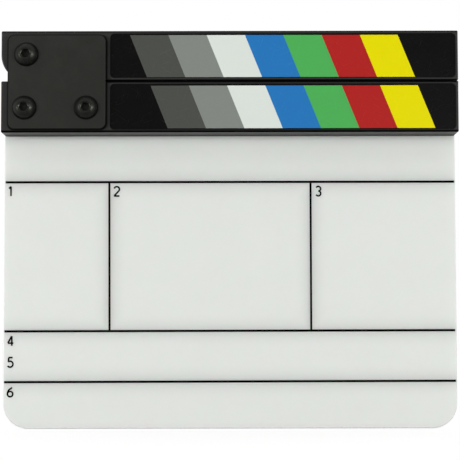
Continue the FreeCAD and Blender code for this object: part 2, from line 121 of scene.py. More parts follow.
def stretched(tree, vector, scale, turn=(0.0, 0.0, 0.0)):
    """Socket of coordinates that are turned and then scaled apart on each axis."""
    turned = node(tree, "ShaderNodeMapping", {"Vector": vector, "Rotation": turn}).outputs[0]
    return node(tree, "ShaderNodeMapping", {"Vector": turned, "Scale": scale}).outputs[0]


def split(tree, place):
    """Sockets X, Y and Z of coordinates."""
    return node(tree, "ShaderNodeSeparateXYZ", {0: place}).outputs


def new_finish(name, **plain):
    """New material: its tree, its Principled shader with plain values set, and its coordinates."""
    material = bpy.data.materials.new(name)
    material.use_nodes = True
    tree = material.node_tree
    shader = tree.nodes["Principled BSDF"]
    for socket, value in plain.items():
        shader.inputs[socket.replace("_", " ")].default_value = value
    place = node(tree, "ShaderNodeTexCoord").outputs["Object"]
    return material, tree, shader, place


def raise_bumps(tree, shader, height, depth):
    """Feed a height from 0 to 1 into both normals of the shader, as bumps of a depth in metres."""
    bump = node(tree, "ShaderNodeBump", {"Height": height, "Strength": 1.0, "Distance": depth})
    for socket in ("Normal", "Coat Normal"):
        tree.links.new(bump.outputs["Normal"], shader.inputs[socket])


def finish_nodes(material, *names):
    """Give every face of the named nodes one material."""
    for name in names:
        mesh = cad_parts[name].data
        mesh.materials.clear()
        mesh.materials.append(material)
        mesh.polygons.foreach_set("material_index", np.zeros(len(mesh.polygons), np.int32))


def new_group(name, inputs, outputs):
    """Empty node group with named sockets: its tree, its input node and its output node."""
    tree = bpy.data.node_groups.new(name, "ShaderNodeTree")
    for socket, kind in inputs.items():
        tree.interface.new_socket(socket, in_out="INPUT", socket_type=f"NodeSocket{kind}")
    for socket in outputs:
        tree.interface.new_socket(socket, in_out="OUTPUT", socket_type="NodeSocketFloat")
    return tree, tree.nodes.new("NodeGroupInput"), tree.nodes.new("NodeGroupOutput")


def use_group(tree, group, **inputs):
    """Place a node group in a material and return its outputs."""
    return node(tree, "ShaderNodeGroup", inputs, node_tree=group).outputs


scratch_turns = (0.35, -0.6, 1.25)
scratch_stretch = (0.5, 1.0, 28.0)
scratch_peaks = (0.70, 0.76)
smear_scale = 0.35
smear_detail = 3.0
smear_roughness = 0.6


def make_handling_marks():
    """Marks of use, in units of a given size: hair scratches and cloudy smears.

    A scratch is a peak in noise that is drawn out along one line, and there are three such lines.
    """
    sockets = {"Place": "Vector", "Size": "Float"}
    tree, given, result = new_group("handling marks", sockets, ["Scratches", "Smears"])
    size = node(tree, "ShaderNodeCombineXYZ", {axis: given.outputs["Size"] for axis in "XYZ"})
    terms = {0: given.outputs["Place"], 1: size.outputs[0]}
    place = node(tree, "ShaderNodeVectorMath", terms, operation="DIVIDE").outputs[0]
    scratches = 0.0
    for turn in scratch_turns:
        along = stretched(tree, place, scratch_stretch, (0.0, turn, 0.0))
        peaks = spread(tree, noise(tree, along, 1.0, 1.0), *scratch_peaks)
        scratches = calc(tree, "MAXIMUM", scratches, peaks)
    smears = noise(tree, place, smear_scale, smear_detail, smear_roughness)
    tree.links.new(scratches, result.inputs["Scratches"])
    tree.links.new(smears, result.inputs["Smears"])
    return tree


handling_marks = make_handling_marks()

# A printed line has a height at its left and right end, a divider a place at its foot and head.
line_width = 1.40 * MM
divider_width = 1.25 * MM
line_heights = [(152.36 * MM, 152.33 * MM), (59.85 * MM, 60.12 * MM), (28.56 * MM, 28.99 * MM)]
divider_places = [(-74.57 * MM, -74.97 * MM), (50.11 * MM, 50.11 * MM)]
top_line, middle_line = np.mean(line_heights[:2], axis=1).tolist()
# Painted shade: a grey laid on the face beside the printed lines and under the lower stick, darkest next
# to them.
painted_shade_grey = (0.46, 0.49, 0.47, 1.0)
painted_shade_reach = 11.0 * MM
painted_shade_strength = 0.33
stick_shade_full = 2.0 * MM
stick_shade_end = 8.3 * MM


def painted_line_and_stick_shade(tree, place):
    """Socket of painted shade on the face, beside the printed lines and under the lower stick.

    It is the square of the nearness to them, which falls evenly from 1 to 0 over their reach.
    """
    axes = split(tree, place)
    stick_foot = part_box("lower_stick")[0].z
    near = spread(tree, axes["Z"], stick_foot - stick_shade_end, stick_foot - stick_shade_full)
    for left_height, right_height in line_heights:
        slope = (right_height - left_height) / (board_high.x - board_low.x)
        level = calc(tree, "MULTIPLY_ADD", axes["X"], slope, (left_height + right_height) / 2)
        away = calc(tree, "ABSOLUTE", calc(tree, "SUBTRACT", axes["Z"], level))
        beside = spread(tree, away, line_width / 2, painted_shade_reach, 1.0, 0.0)
        near = calc(tree, "MAXIMUM", near, beside)
    above = calc(tree, "GREATER_THAN", axes["Z"], middle_line)
    within = calc(tree, "MULTIPLY", above, calc(tree, "LESS_THAN", axes["Z"], top_line))
    for divider in np.mean(divider_places, axis=1).tolist():
        away = calc(tree, "ABSOLUTE", calc(tree, "SUBTRACT", axes["X"], divider))
        beside = spread(tree, away, divider_width / 2, painted_shade_reach, 1.0, 0.0)
        near = calc(tree, "MAXIMUM", near, calc(tree, "MULTIPLY", beside, within))
    front = calc(tree, "LESS_THAN", axes["Y"], 0.0)
    return calc(tree, "MULTIPLY", calc(tree, "POWER", near, 2.0), front)


def opal_acrylic():
    """Milky sheet: light scatters in it, with painted shade beside the lines and under the stick, and
    painted light along its foot.
    """
    material, tree, shader, place = new_finish(
        "opal acrylic",
        IOR=opal_refraction,
        Subsurface_Weight=opal_scatter,
        Subsurface_Radius=opal_tint,
        Subsurface_Scale=opal_depth,
    )
    marks = use_group(tree, handling_marks, Place=place, Size=board_marks)
    haze = calc(tree, "MULTIPLY", spread(tree, marks["Smears"], *haze_span), haze_strength)
    colour = blend(tree, haze, opal_white, opal_shade)
    # Painted light along the foot, lifting the shade of the floor contact.
    painted_foot_light = spread(tree, split(tree, place)["Z"], *painted_foot_light_span, 1.0, 0.0)
    colour = blend(tree, painted_foot_light, colour, opal_painted_foot_light)
    # Painted shade beside the printed lines and under the stick.
    line_shade = calc(tree, "MULTIPLY", painted_line_and_stick_shade(tree, place), painted_shade_strength)
    colour = blend(tree, line_shade, colour, painted_shade_grey)
    tree.links.new(colour, shader.inputs["Base Color"])
    rough = spread(tree, marks["Smears"], *satin_span, *satin_roughness)
    scratched = calc(tree, "MULTIPLY", marks["Scratches"], satin_scratched)
    tree.links.new(calc(tree, "ADD", rough, scratched), shader.inputs["Roughness"])
    raise_bumps(tree, shader, noise(tree, place, 1 / satin_grain), satin_depth)
    return material


finish_nodes(opal_acrylic(), "writing_board")

# Form lines on the board: black ink, screen printed straight on the acrylic, so each line is a
# thin film with soft shoulders. They part the face into a blank strip, three boxes and two bands.
ink_film = 0.04 * MM
ink_sunk = 0.02 * MM
ink_face = board_low.y - (ink_film - ink_sunk) / 2
line_insets = [(0.5 * MM, 0.5 * MM), (0.5 * MM, 0.95 * MM), (0.5 * MM, 0.8 * MM)]
divider_start = 0.4 * line_width
section_points = 24
shoulder_power = 0.3
crown_power = 0.5
weld_distance = 0.0001 * MM
ink_full = (0.0008, 0.0008, 0.0008, 1.0)
ink_thin = (0.003, 0.003, 0.0028, 1.0)
ink_gloss = 0.02
ink_span = (0.3, 0.7)
ink_roughness = (0.6, 0.75)
screen_mesh = 0.5 * MM
screen_depth = 0.006 * MM


def ring_surface(name, grid):
    """Mesh object of a grid of points (sheet, row, column): each row is a ring of points.

    A ring is joined to the next one of its sheet, and one of no size closes in a single point.
    """
    sheets, rows, columns = grid.shape[:3]
    index = np.arange(sheets * rows * columns).reshape(sheets, rows, columns)
    beside = np.roll(index, -1, axis=2)
    corners = (index[:, :-1], beside[:, :-1], beside[:, 1:], index[:, 1:])
    quads = np.stack([corner.ravel() for corner in corners], axis=1)
    mesh = bpy.data.meshes.new(name)
    mesh.from_pydata(grid.reshape(-1, 3).tolist(), [], quads.tolist())
    shape = bmesh.new()
    shape.from_mesh(mesh)
    bmesh.ops.remove_doubles(shape, verts=shape.verts, dist=weld_distance)
    bmesh.ops.recalc_face_normals(shape, faces=shape.faces)
    shape.to_mesh(mesh)
    shape.free()
    piece = bpy.data.objects.new(name, mesh)
    bpy.context.scene.collection.objects.link(piece)
    return piece


def ink_strokes(paths, widths):
    """Strokes of ink along paths (stroke, station, point), closed at each end.

    Across a stroke the section is (cos a, sin a) with each term raised to a small power, so that
    it is almost a box. It stands square to the path at every station, and the end stations come
    twice, the outer time with no size.
    """
    paths = np.asarray(paths, float)
    depth_axis = np.array((0.0, 1.0, 0.0))
    heading = np.gradient(paths, axis=1)
    heading /= np.linalg.norm(heading, axis=-1, keepdims=True)
    side = np.cross(heading, depth_axis)[:, :, None, :]
    turn = np.linspace(0.0, 2 * math.pi, section_points, endpoint=False)[None, None, :, None]
    half_widths = np.asarray(widths, float)[:, None, None, None] / 2
    half_height = (ink_film + ink_sunk) / 2
    across = np.sign(np.cos(turn)) * np.abs(np.cos(turn)) ** shoulder_power * half_widths
    out = np.sign(np.sin(turn)) * np.abs(np.sin(turn)) ** crown_power * half_height
    middle = paths[:, :, None, :]
    rings = middle + across * side + out * depth_axis
    first, last = (np.broadcast_to(middle[:, [end]], rings[:, [end]].shape) for end in (0, -1))
    return np.concatenate([first, rings, last], axis=1)


def printing_ink():
    """Matt black ink, a little uneven where the screen's mesh let more or less through."""
    material, tree, shader, place = new_finish("printing ink", Specular_IOR_Level=ink_gloss)
    mesh_print = noise(tree, place, 1 / screen_mesh)
    colour = blend(tree, mesh_print, ink_full, ink_thin)
    rough = spread(tree, mesh_print, *ink_span, *ink_roughness)
    tree.links.new(colour, shader.inputs["Base Color"])
    tree.links.new(rough, shader.inputs["Roughness"])
    raise_bumps(tree, shader, mesh_print, screen_depth)
    return material


ink = printing_ink()
line_paths = [
    [(board_low.x + left, ink_face, left_height), (board_high.x - right, ink_face, right_height)]
    for (left, right), (left_height, right_height) in zip(line_insets, line_heights)
]
line_paths += [
    [(foot, ink_face, middle_line + divider_start), (head, ink_face, top_line - divider_start)]
    for foot, head in divider_places
]
line_widths = [line_width] * len(line_heights) + [divider_width] * len(divider_places)
form_lines = ring_surface("form_lines", ink_strokes(line_paths, line_widths))
form_lines.data.materials.append(ink)
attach(form_lines, "slate")

# Field numbers: plain digits in the same ink, at the upper left of each place to write in, which
# they number. Each is a few strokes of even width, printed through the same screen as the lines.
digit_height = 6.9 * MM
digit_stroke = 1.0 * MM
digit_stations = 24
arc_points = 32

# The left edge and the top of each digit.
digit_corners = [
    (board_low.x + 1.9 * MM, 150.2 * MM),
    (divider_places[0][1] + 2.4 * MM, 150.1 * MM),
    (divider_places[1][1] + 2.7 * MM, 150.0 * MM),
    (board_low.x + 2.1 * MM, 57.4 * MM),
    (board_low.x + 2.1 * MM, 44.2 * MM),
    (board_low.x + 2.1 * MM, 26.0 * MM),
]


def arc(middle_x, middle_y, radius, start, end):
    """Points round part of a circle: its middle plus its radius times (cos a, sin a), in degrees."""
    turn = np.radians(np.linspace(start, end, arc_points))
    return np.stack([middle_x + radius * np.cos(turn), middle_y + radius * np.sin(turn)], axis=1)


def even_path(points):
    """Stations on a line through points, at equal steps of the length run so far."""
    points = np.asarray(points, float)
    reached = np.append(0.0, np.cumsum(np.linalg.norm(np.diff(points, axis=0), axis=1)))
    wanted = np.linspace(0.0, reached[-1], digit_stations)
    return np.stack([np.interp(wanted, reached, points[:, axis]) for axis in (0, 1)], axis=1)


# The middle lines of the strokes of the digits 1 to 6, from the lower left, in units of their height.
digit_strokes = [
    [[(0.04, 0.80), (0.27, 1.0)], [(0.25, 1.0), (0.25, 0.0)]],
    [[*arc(0.29, 0.71, 0.28, 165, -35), (0.03, 0.03)], [(0.0, 0.0), (0.57, 0.0)]],
    [arc(0.27, 0.745, 0.25, 150, -90), arc(0.27, 0.255, 0.26, 90, -150)],
    [[(0.42, 0.0), (0.42, 1.0)], [(0.40, 1.0), (0.02, 0.29)], [(0.0, 0.27), (0.58, 0.27)]],
    [[(0.52, 1.0), (0.10, 1.0)], [(0.12, 1.0), (0.07, 0.53)], arc(0.25, 0.31, 0.31, 130, -145)],
    [arc(0.28, 0.28, 0.28, 90, 450), [*arc(0.62, 0.30, 0.62, 178, 112), (0.47, 0.98)]],
]
digit_paths = []
for strokes, (left, top) in zip(digit_strokes, digit_corners):
    for stroke in strokes:
        flat = even_path(stroke) * (digit_height - digit_stroke)
        across = flat[:, 0] + left + digit_stroke / 2
        up = flat[:, 1] + top - digit_height + digit_stroke / 2
        digit_paths.append(np.stack([across, np.full(digit_stations, ink_face), up], axis=1))
digit_widths = [digit_stroke] * len(digit_paths)
field_numbers = ring_surface("field_numbers", ink_strokes(digit_paths, digit_widths))
field_numbers.data.materials.append(ink)
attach(field_numbers, "slate")

# Clap sticks: two bars of hardwood under satin black lacquer, with softly rounded edges. The lower
# one is rebated for the board; the upper one swings between the hinge plates.
lower_low, lower_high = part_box("lower_stick")
upper_low, upper_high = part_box("upper_stick")
plate_low, plate_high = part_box("front_hinge_plate")
plate_corner = 4.0 * MM
label_corner = 2.4 * MM
lacquer_black = (0.0145, 0.0145, 0.0135, 1.0)
lacquer_worn = (0.035, 0.034, 0.031, 1.0)
lacquer_refraction = 1.5
lacquer_roughness = 0.45
lacquer_depth = 0.02 * MM
wood_grain = (25.0, 900.0, 900.0)
wood_detail = 4.0
wood_roughness = 0.6
wood_share = 0.7
peel_size = 0.5 * MM
peel_share = 0.3

# Wear: smears and scratches all over, and bruises on the faces that meet in the seam.
stick_marks = 7.0 * MM
stick_smeared = 0.35
stick_scratched = 0.4
rubbed_span = (0.45, 0.8)
seam_drop = 0.2 * MM
seam_height = (lower_high.z + upper_low.z) / 2 - seam_drop
bruise_size = 3.0 * MM
bruise_detail = 4.0
bruise_roughness = 0.7
bruise_span = (0.48, 0.62)
bruise_edge = (0.8 * MM, 1.2 * MM)
bruise_growth = (0.3, 1.0)

# Painted shade lines: a line is full for a share of its reach, starts a little under the piece that it
# runs along, and is set off down and to the right by another share, as a shadow would fall.
painted_shade_black = (0.002, 0.002, 0.002, 1.0)
shade_line_reach = 1.1 * MM
shade_line_full = 0.3
shade_line_lap = (-0.5 * MM, -0.2 * MM)
shade_line_shift = 1 / 8


def make_foot_shade():
    """Painted shade line along the foot of a raised piece with a rounded outline.

    How far a point lies outside the outline, seen from the front, is its distance from the
    rectangle through the centres of the corner radii, less that radius. The line is darkest at
    the outline and fades outwards.
    """
    inputs = {
        "Place": "Vector",
        "Middle": "Vector",
        "Core": "Vector",
        "Corner": "Float",
        "Reach": "Float",
    }
    tree, given, result = new_group("painted foot shade", inputs, ["Grime"])
    nothing = (0.0, 0.0, 0.0)
    steps = (
        ("SUBTRACT", given.outputs["Middle"]),
        ("ABSOLUTE", nothing),
        ("SUBTRACT", given.outputs["Core"]),
        ("MAXIMUM", nothing),
    )
    past = given.outputs["Place"]
    for operation, other in steps:
        step = node(tree, "ShaderNodeVectorMath", {0: past, 1: other}, operation=operation)
        past = step.outputs[0]
    length = node(tree, "ShaderNodeVectorMath", {0: past}, operation="LENGTH").outputs["Value"]
    outside = calc(tree, "SUBTRACT", length, given.outputs["Corner"])
    full = calc(tree, "MULTIPLY", given.outputs["Reach"], shade_line_full)
    fade = spread(tree, outside, full, given.outputs["Reach"], 1.0, 0.0)
    start = spread(tree, outside, *shade_line_lap)
    tree.links.new(calc(tree, "MULTIPLY", fade, start), result.inputs["Grime"])
    return tree


foot_shade = make_foot_shade()


def shade_round(tree, place, low, high, corner, reach):
    """Socket with the painted shade line round a box, set off a little down and to the right of it."""
    middle = (low + high) / 2
    sides = (high - low) / 2
    shift = reach * shade_line_shift
    inputs = {
        "Place": place,
        "Middle": (middle.x + shift, 0.0, middle.z - shift),
        "Core": (sides.x - corner, 1.0, sides.z - corner),
        "Corner": corner,
        "Reach": reach,
    }
    return use_group(tree, foot_shade, **inputs)["Grime"]


def rubbed_places(tree, marks, smeared, scratched):
    """Socket of where use has rubbed a finish: the stronger of its smears and its scratches."""
    smears = calc(tree, "MULTIPLY", spread(tree, marks["Smears"], *rubbed_span), smeared)
    return calc(tree, "MAXIMUM", smears, calc(tree, "MULTIPLY", marks["Scratches"], scratched))


# How strong each painted shade line of the sticks is, and where it fades.
plate_line = 0.85
label_line = 0.7
label_line_reach = 0.6 * shade_line_reach
crest_line = 0.6
under_line = 0.6
seam_fade = (0.7 * shade_line_reach, 1.2 * shade_line_reach)
crest_fade = (upper_high.z - 1.5 * shade_line_reach, upper_high.z - 0.5 * shade_line_reach)
foot_fade = (lower_low.z + 0.8 * shade_line_reach, lower_low.z + 1.5 * shade_line_reach)
front_fade = (lower_low.y + 0.7 * shade_line_reach, lower_low.y + 1.2 * shade_line_reach)


def stick_shade_lines(tree, place, from_seam):
    """Socket of the painted shade on the sticks, as lines that fade out.

    They run round both hinge plates; on the front round the labels, in the seam and on the crest;
    and along the lower stick's foot, where the line grows again underneath, towards the board.
    """
    axes = split(tree, place)
    painted_shade = shade_round(tree, place, plate_low, plate_high, plate_corner, shade_line_reach)
    painted_shade = calc(tree, "MULTIPLY", painted_shade, plate_line)
    rings = 0.0
    for label in ("lower_stripe_label", "upper_stripe_label"):
        ring = shade_round(tree, place, *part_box(label), label_corner, label_line_reach)
        rings = calc(tree, "MAXIMUM", rings, calc(tree, "MULTIPLY", ring, label_line))
    seam = spread(tree, from_seam, *seam_fade, 1.0, 0.0)
    seam = calc(tree, "MULTIPLY", seam, calc(tree, "GREATER_THAN", axes["X"], plate_low.x))
    crest = spread(tree, axes["Z"], *crest_fade, 0.0, crest_line)
    foot = spread(tree, axes["Z"], *foot_fade, 1.0, 0.0)
    front = spread(tree, axes["Y"], *front_fade, 1.0, 0.0)
    under = spread(tree, axes["Y"], front_fade[1], board_low.y, 0.0, under_line)
    under = calc(tree, "MAXIMUM", front, under)
    for line, side in ((rings, front), (seam, front), (crest, front), (foot, under)):
        painted_shade = calc(tree, "MAXIMUM", painted_shade, calc(tree, "MULTIPLY", line, side))
    return painted_shade


def black_lacquer():
    """Satin lacquer in which the wood's long grain is just felt, rubbed a little in places.

    The meeting faces are bruised by the clapping, harder towards the free end. The gloss is a coat
    that is taken away where shade is painted.
    """
    material, tree, shader, place = new_finish(
        "black lacquer",
        Specular_IOR_Level=0.0,
        Coat_IOR=lacquer_refraction,
        Coat_Roughness=lacquer_roughness,
    )
    axes = split(tree, place)
    from_seam = calc(tree, "ABSOLUTE", calc(tree, "SUBTRACT", axes["Z"], seam_height))
    marks = use_group(tree, handling_marks, Place=place, Size=stick_marks)
    rubbed = rubbed_places(tree, marks, stick_smeared, stick_scratched)
    knocks = noise(tree, place, 1 / bruise_size, bruise_detail, bruise_roughness)
    meeting = spread(tree, from_seam, *bruise_edge, 1.0, 0.0)
    harder = spread(tree, axes["X"], plate_high.x, lower_high.x, *bruise_growth)
    bruises = calc(tree, "MULTIPLY", spread(tree, knocks, *bruise_span), meeting)
    rubbed = calc(tree, "MAXIMUM", rubbed, calc(tree, "MULTIPLY", bruises, harder))
    # Painted shade round the plates and labels, in the seam, on the crest and along and under the foot.
    painted_shade = stick_shade_lines(tree, place, from_seam)
    colour = blend(tree, rubbed, lacquer_black, lacquer_worn)
    tree.links.new(blend(tree, painted_shade, colour, painted_shade_black), shader.inputs["Base Color"])
    tree.links.new(calc(tree, "SUBTRACT", 1.0, painted_shade), shader.inputs["Coat Weight"])
    grain = noise(tree, stretched(tree, place, wood_grain), 1.0, wood_detail, wood_roughness)
    peel = calc(tree, "MULTIPLY", noise(tree, place, 1 / peel_size), peel_share)
    height = calc(tree, "ADD", calc(tree, "MULTIPLY", grain, wood_share), peel)
    raise_bumps(tree, shader, height, lacquer_depth)
    return material


finish_nodes(black_lacquer(), "lower_stick", "upper_stick")

# Striped labels: one print on vinyl under a clear film, cut in two and stuck in the recesses of the
# sticks. The slanted stripes, greys to white and then plain colours, meet when the sticks are shut.
stripe_origin = (-60.65 * MM, 239.77 * MM)
stripe_slant = 0.4014
stripe_black = (0.0045, 0.0045, 0.0045, 1.0)
stripe_dark_grey = (0.077, 0.081, 0.071, 1.0)
stripe_light_grey = (0.233, 0.253, 0.229, 1.0)
stripe_white = (0.725, 0.78, 0.725, 1.0)
stripe_blue = (0.023, 0.187, 0.500, 1.0)
stripe_green = (0.081, 0.430, 0.099, 1.0)
stripe_red = (0.434, 0.020, 0.018, 1.0)
stripe_yellow = (0.805, 0.728, 0.001, 1.0)
film_refraction = 1.5
film_span = (0.25, 0.75)
film_roughness = (0.12, 0.18)
film_scratched = 0.15
film_ripple = 0.8 * MM
film_depth = 0.004 * MM
label_marks = 6.0 * MM

# The pitch and the shift of the stripes on the lower and on the upper label.
stripe_pitches = (23.41 * MM, 23.49 * MM)
print_shifts = (0.09 * MM, 0.02 * MM)

# The black strip at each label's bottom and top: printed margin, wider at the top as painted shade under
# the recess's edge.
print_and_shade_margins = {
    "lower_stripe_label": (0.50 * MM, 0.98 * MM),
    "upper_stripe_label": (0.12 * MM, 0.74 * MM),
}

# Where each stripe begins, in stripe widths. The last black laps a little over the yellow.
stripes = [
    (0.0, stripe_dark_grey),
    (1.0, stripe_light_grey),
    (2.0, stripe_white),
    (3.0, stripe_blue),
    (4.0, stripe_green),
    (5.0, stripe_red),
    (6.0, stripe_yellow),
    (6.987, stripe_black),
]


def stripe_print():
    """Stripes by number: how far a point lies past the first slanted edge, in stripe widths."""
    material, tree, shader, place = new_finish("stripe print", IOR=film_refraction)
    axes = split(tree, place)
    first_edge, edge_top = stripe_origin
    drop = calc(tree, "SUBTRACT", edge_top, axes["Z"])
    along = calc(tree, "SUBTRACT", axes["X"], calc(tree, "MULTIPLY", drop, stripe_slant))
    shift = spread(tree, axes["Z"], lower_high.z, upper_low.z, *print_shifts)
    pitch = spread(tree, axes["Z"], lower_high.z, upper_low.z, *stripe_pitches)
    past = calc(tree, "SUBTRACT", calc(tree, "SUBTRACT", along, shift), first_edge)
    number = calc(tree, "DIVIDE", past, pitch)
    colour = stripe_black
    for start, stripe_colour in stripes:
        colour = blend(tree, calc(tree, "GREATER_THAN", number, start), colour, stripe_colour)
    inside = 0.0
    # Black margins: print, and at the top also painted shade.
    for label, (bottom_margin, top_margin) in print_and_shade_margins.items():
        low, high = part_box(label)
        over = calc(tree, "GREATER_THAN", axes["Z"], low.z + bottom_margin)
        under = calc(tree, "LESS_THAN", axes["Z"], high.z - top_margin)
        inside = calc(tree, "MAXIMUM", inside, calc(tree, "MULTIPLY", over, under))
    tree.links.new(blend(tree, inside, stripe_black, colour), shader.inputs["Base Color"])
    marks = use_group(tree, handling_marks, Place=place, Size=label_marks)
    rough = spread(tree, marks["Smears"], *film_span, *film_roughness)
    scratched = calc(tree, "MULTIPLY", marks["Scratches"], film_scratched)
    tree.links.new(calc(tree, "ADD", rough, scratched), shader.inputs["Roughness"])
    raise_bumps(tree, shader, noise(tree, place, 1 / film_ripple), film_depth)
    return material


finish_nodes(stripe_print(), "lower_stripe_label", "upper_stripe_label")

# Hinge plates: aluminium, cut and edge-rounded, blasted and anodised black. The front one lies on
# both sticks; the rear one, behind them and the board's top, carries the other end of the pivot.
anodised_black = (0.0065, 0.0072, 0.0038, 1.0)
anodised_rubbed = (0.03, 0.03, 0.026, 1.0)
anodised_refraction = 1.5
anodised_roughness = 0.5
anodised_gloss = 0.86
plate_marks = 6.0 * MM
plate_smeared = 0.3
plate_scratched = 0.35
plate_rim_line = 0.8
blast_grain = 0.25 * MM
blast_depth = 0.012 * MM
bolt_head_radius = 7.0 * MM
bolt_line_reach = shade_line_reach / 2
pivot_low, pivot_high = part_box("pivot_bolt")
pair_low, pair_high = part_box("plate_bolts")
pair_height = (pair_low.z + pair_high.z) / 2
bolt_middles = [
    (pivot_low + pivot_high) / 2,
    Vector((pair_low.x + bolt_head_radius, 0.0, pair_height)),
    Vector((pair_high.x - bolt_head_radius, 0.0, pair_height)),
]


def black_plate():
    """Fine blasted grain under the black, rubbed by hands, with painted shade at its rim and round the
    bolts.

    The gloss is a coat that is taken away where shade is painted.
    """
    material, tree, shader, place = new_finish(
        "black plate",
        Specular_IOR_Level=0.0,
        Coat_IOR=anodised_refraction,
        Coat_Roughness=anodised_roughness,
    )
    marks = use_group(tree, handling_marks, Place=place, Size=plate_marks)
    rubbed = rubbed_places(tree, marks, plate_smeared, plate_scratched)
    # Painted shade round the plate's rim and round each bolt head.
    rim = shade_round(tree, place, plate_low, plate_high, plate_corner, shade_line_reach)
    painted_shade = calc(tree, "MULTIPLY", rim, plate_rim_line)
    head_corner = Vector((bolt_head_radius, 0.0, bolt_head_radius))
    for middle in bolt_middles:
        head_box = (middle - head_corner, middle + head_corner)
        ring = shade_round(tree, place, *head_box, bolt_head_radius, bolt_line_reach)
        painted_shade = calc(tree, "MAXIMUM", painted_shade, ring)
    colour = blend(tree, rubbed, anodised_black, anodised_rubbed)
    coat = spread(tree, painted_shade, 0.0, 1.0, anodised_gloss, 0.0)
    tree.links.new(blend(tree, painted_shade, colour, painted_shade_black), shader.inputs["Base Color"])
    tree.links.new(coat, shader.inputs["Coat Weight"])
    raise_bumps(tree, shader, noise(tree, place, 1 / blast_grain), blast_depth)
    return material


finish_nodes(black_plate(), "front_hinge_plate", "rear_hinge_plate")

# Bolts and board screws: steel with domed heads and hex sockets, blackened and oiled. The hinge
# bolts go right through both plates; the screws hold the board from behind.
oxide_black = (0.029, 0.029, 0.0255, 1.0)
oxide_bare = (0.16, 0.155, 0.15, 1.0)
oxide_metal = 0.9
oxide_roughness = (0.34, 0.42)
oxide_grain = 0.15 * MM
oxide_depth = 0.004 * MM
bloom_size = 2.5 * MM
bloom_detail = 3.0
bloom_roughness = 0.6
bloom_span = (0.3, 0.7)
bolt_marks = 2.5 * MM
bolt_scratched = 0.5
# Painted shade in the hex sockets, dark from some way in.
socket_painted_shade = (0.004, 0.004, 0.004, 1.0)
socket_reach = 2.9 * MM
socket_shade = (0.5 * MM, 1.5 * MM)
socket_depth = 3.0 * MM
socket_floor = socket_depth - 0.1 * MM


def bolt_socket_shade(tree, place):
    """Mask of painted shade in the hinge bolts' hex sockets: on the walls, from some way in to the
    floor.
    """
    axes = split(tree, place)
    inside = 0.0
    for middle in bolt_middles:
        sides = (
            calc(tree, "SUBTRACT", axes["X"], middle.x),
            calc(tree, "SUBTRACT", axes["Z"], middle.z),
        )
        squares = [calc(tree, "POWER", side, 2.0) for side in sides]
        radius = calc(tree, "SQRT", calc(tree, "ADD", *squares))
        inside = calc(tree, "MAXIMUM", inside, calc(tree, "LESS_THAN", radius, socket_reach))
    depth = calc(tree, "SUBTRACT", axes["Y"], pivot_low.y)
    deep = spread(tree, depth, *socket_shade)
    on_floor = calc(tree, "GREATER_THAN", depth, socket_floor)
    return calc(tree, "MULTIPLY", inside, calc(tree, "SUBTRACT", deep, on_floor))


def black_oxide():
    """Dark metal with a thin oily bloom, scratched bare in places, with painted shade in its sockets."""
    material, tree, shader, place = new_finish("black oxide", Metallic=oxide_metal)
    marks = use_group(tree, handling_marks, Place=place, Size=bolt_marks)
    bare = calc(tree, "MULTIPLY", marks["Scratches"], bolt_scratched)
    colour = blend(tree, bare, oxide_black, oxide_bare)
    # Painted shade in the hinge bolts' hex sockets.
    colour = blend(tree, bolt_socket_shade(tree, place), colour, socket_painted_shade)
    bloom = noise(tree, place, 1 / bloom_size, bloom_detail, bloom_roughness)
    rough = spread(tree, bloom, *bloom_span, *oxide_roughness)
    tree.links.new(colour, shader.inputs["Base Color"])
    tree.links.new(rough, shader.inputs["Roughness"])
    raise_bumps(tree, shader, noise(tree, place, 1 / oxide_grain), oxide_depth)
    return material


finish_nodes(black_oxide(), "plate_bolts", "pivot_bolt", "board_screws")

# Washers, lock nuts and pivot sleeve: pressed or turned steel with bright zinc plating. Nuts on
# washers close the bolts behind the rear plate, three more washers lie under the board screws'
# heads, and the sleeve is clamped on the pivot bolt between the plates.
zinc_bright = (0.62, 0.64, 0.66, 1.0)
zinc_dull = (0.42, 0.43, 0.44, 1.0)
zinc_roughness = (0.24, 0.36)
zinc_cloud = 3.0 * MM
zinc_dull_span = (0.4, 0.7)
zinc_rough_span = (0.3, 0.7)
zinc_scratched = 0.6
zinc_marks = 2.5 * MM
zinc_grain = 0.2 * MM
zinc_depth = 0.004 * MM
cloud_detail = 3.0
cloud_roughness = 0.6


def zinc_plate():
    """Bright plating, cloudy where it is thin."""
    material, tree, shader, place = new_finish("zinc plate", Metallic=1.0)
    cloud = noise(tree, place, 1 / zinc_cloud, cloud_detail, cloud_roughness)
    marks = use_group(tree, handling_marks, Place=place, Size=zinc_marks)
    scratched = calc(tree, "MULTIPLY", marks["Scratches"], zinc_scratched)
    dull = calc(tree, "MAXIMUM", spread(tree, cloud, *zinc_dull_span), scratched)
    rough = spread(tree, cloud, *zinc_rough_span, *zinc_roughness)
    tree.links.new(blend(tree, dull, zinc_bright, zinc_dull), shader.inputs["Base Color"])
    tree.links.new(rough, shader.inputs["Roughness"])
    raise_bumps(tree, shader, noise(tree, place, 1 / zinc_grain), zinc_depth)
    return material


zinc = zinc_plate()
finish_nodes(zinc, "plate_washers", "plate_lock_nuts", "pivot_washer", "pivot_lock_nut")
finish_nodes(zinc, "pivot_sleeve", "board_washers")

# Lock rings and thrust washers: natural nylon, which yellows a little. The rings are pressed into
# the collars of the lock nuts; the washers, cut from sheet, keep the upper stick off the plates.
nylon_pale = (0.72, 0.70, 0.64, 1.0)
nylon_aged = (0.60, 0.56, 0.47, 1.0)
nylon_refraction = 1.53
nylon_scatter = 0.2
nylon_scatter_depth = 0.5 * MM
nylon_cloud = 2.0 * MM
nylon_span = (0.3, 0.7)
nylon_roughness = (0.42, 0.55)


